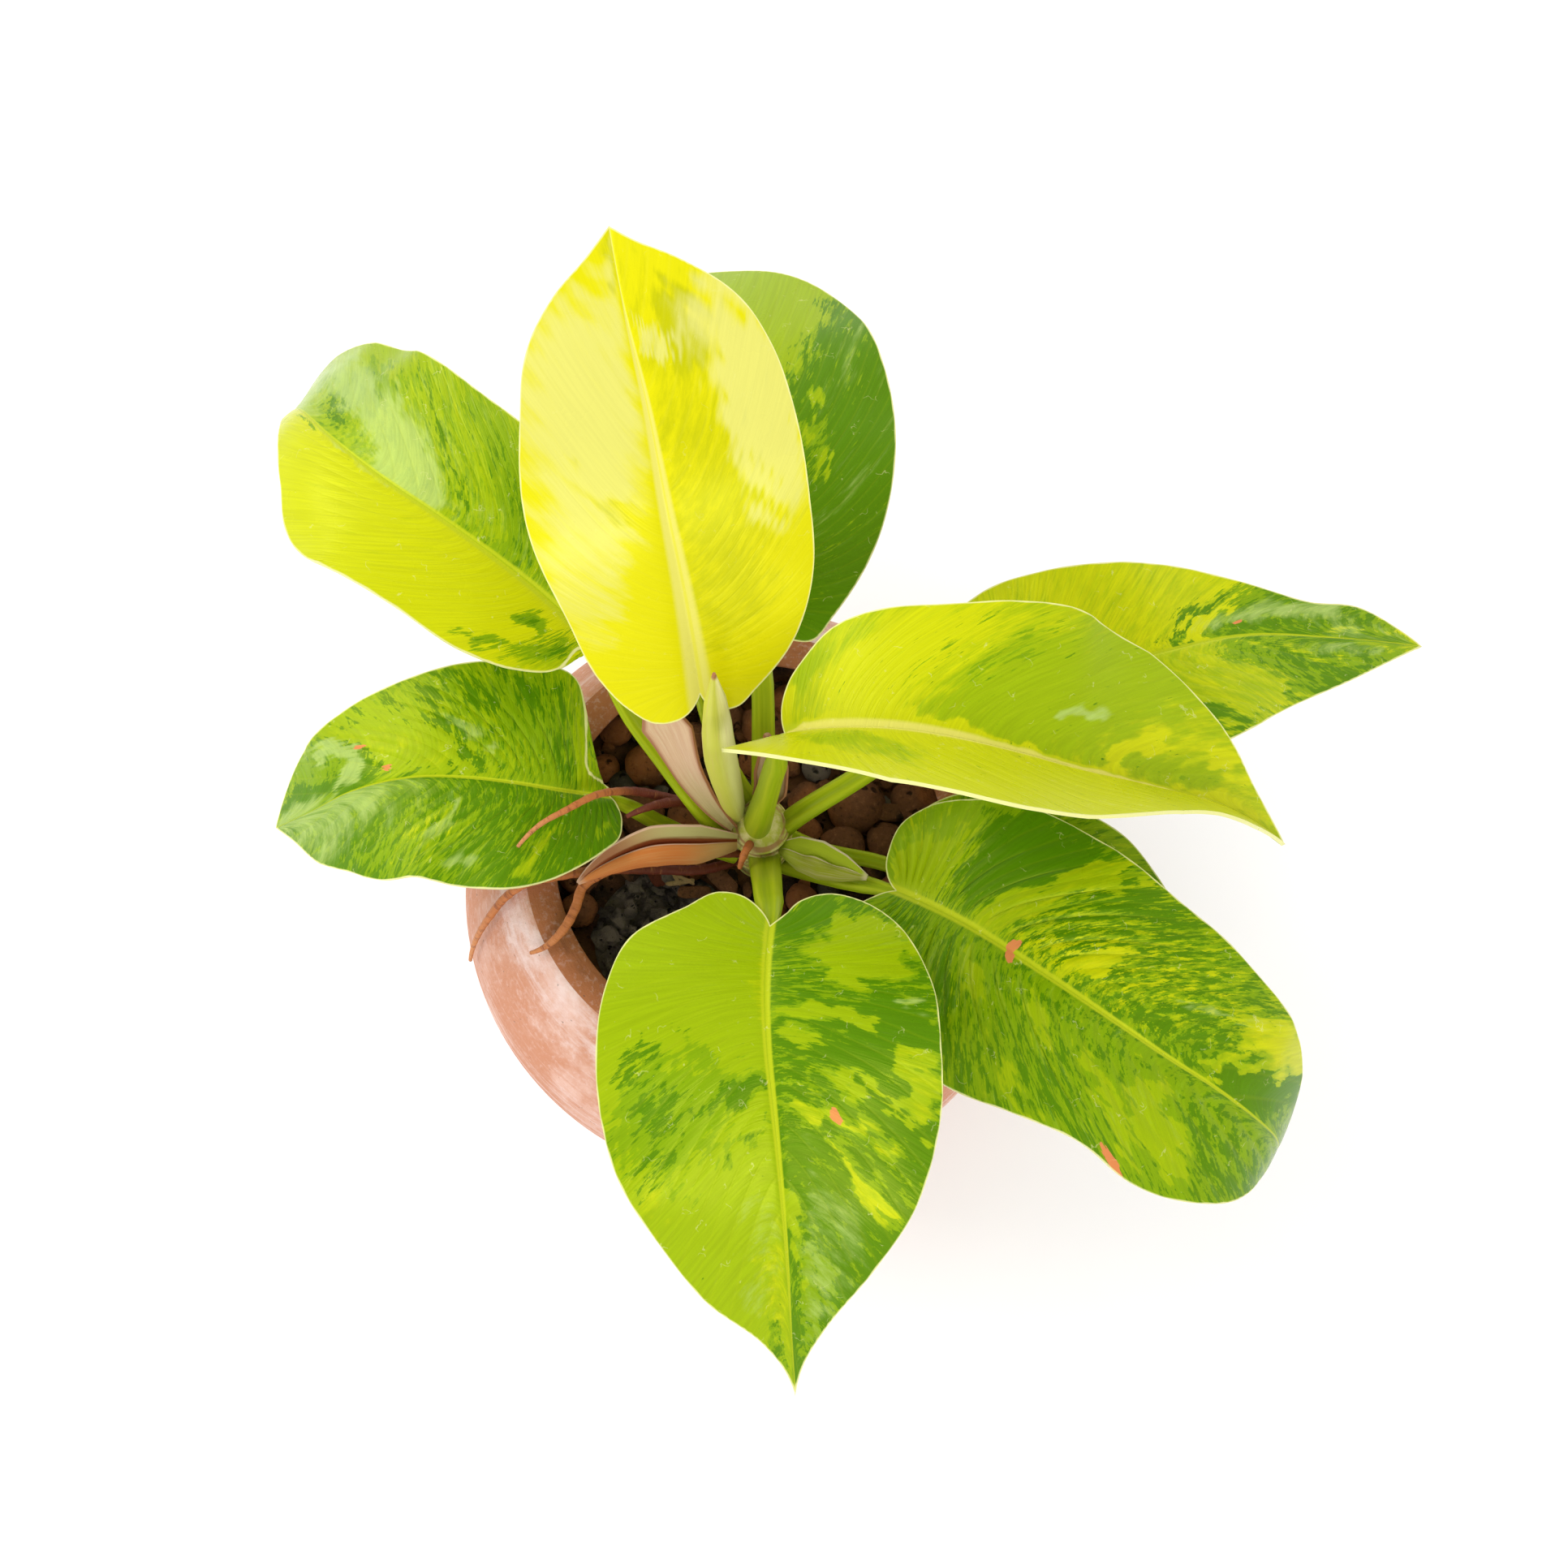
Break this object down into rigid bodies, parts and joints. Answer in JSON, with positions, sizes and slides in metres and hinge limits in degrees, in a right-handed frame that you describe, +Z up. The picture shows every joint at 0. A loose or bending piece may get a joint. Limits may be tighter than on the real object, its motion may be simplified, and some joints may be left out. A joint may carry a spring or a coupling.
{
  "type": "potted variegated moonlight philodendron",
  "caption": "Young variegated philodendron with glossy heart-shaped leaves, a rolled new leaf and aerial roots, in a ball-shaped terracotta pot of clay pebbles.",
  "frame": {"origin": "middle of the pot's flat base, on the surface that it stands on", "axes": "+Z up along the pot's axis, -Y towards the leaf that hangs over the front of the pot, +X towards the two widest-reaching leaves"},
  "size_m": [0.2915, 0.2855, 0.2457],
  "materials": {
    "terracotta": "matte",
    "potting_mix": "matte",
    "expanded_clay": "matte",
    "dark_grit": "matte",
    "stem_tissue": "satin",
    "new_blade": "gloss",
    "variegated_blade": "gloss",
    "dark_blade": "gloss",
    "rolled_blade": "satin",
    "pink_sheath": "satin",
    "dried_sheath": "matte",
    "green_sheath": "satin",
    "aerial_root": "matte"
  },
  "bodies": {
    "root": {"pot": "terracotta", "potting_bed": "potting_mix", "clay_pebbles": "expanded_clay", "lava_grit": "dark_grit", "plant_stem": "stem_tissue", "leaf_newest": "new_blade", "leaf_right": "variegated_blade", "leaf_back": "dark_blade", "leaf_front": "variegated_blade", "leaf_upper_left": "variegated_blade", "leaf_far_right": "variegated_blade", "leaf_left": "variegated_blade", "leaf_lower_right": "variegated_blade", "leaf_low_right": "variegated_blade", "new_leaf_spike": "rolled_blade", "sheath_pink_left": "pink_sheath", "sheath_pink_right": "pink_sheath", "sheath_dried": "dried_sheath", "sheath_green": "green_sheath", "root_over_leaf": "aerial_root", "root_orange": "aerial_root", "root_outside": "aerial_root", "root_nub": "aerial_root"}
  },
  "joints": []
}
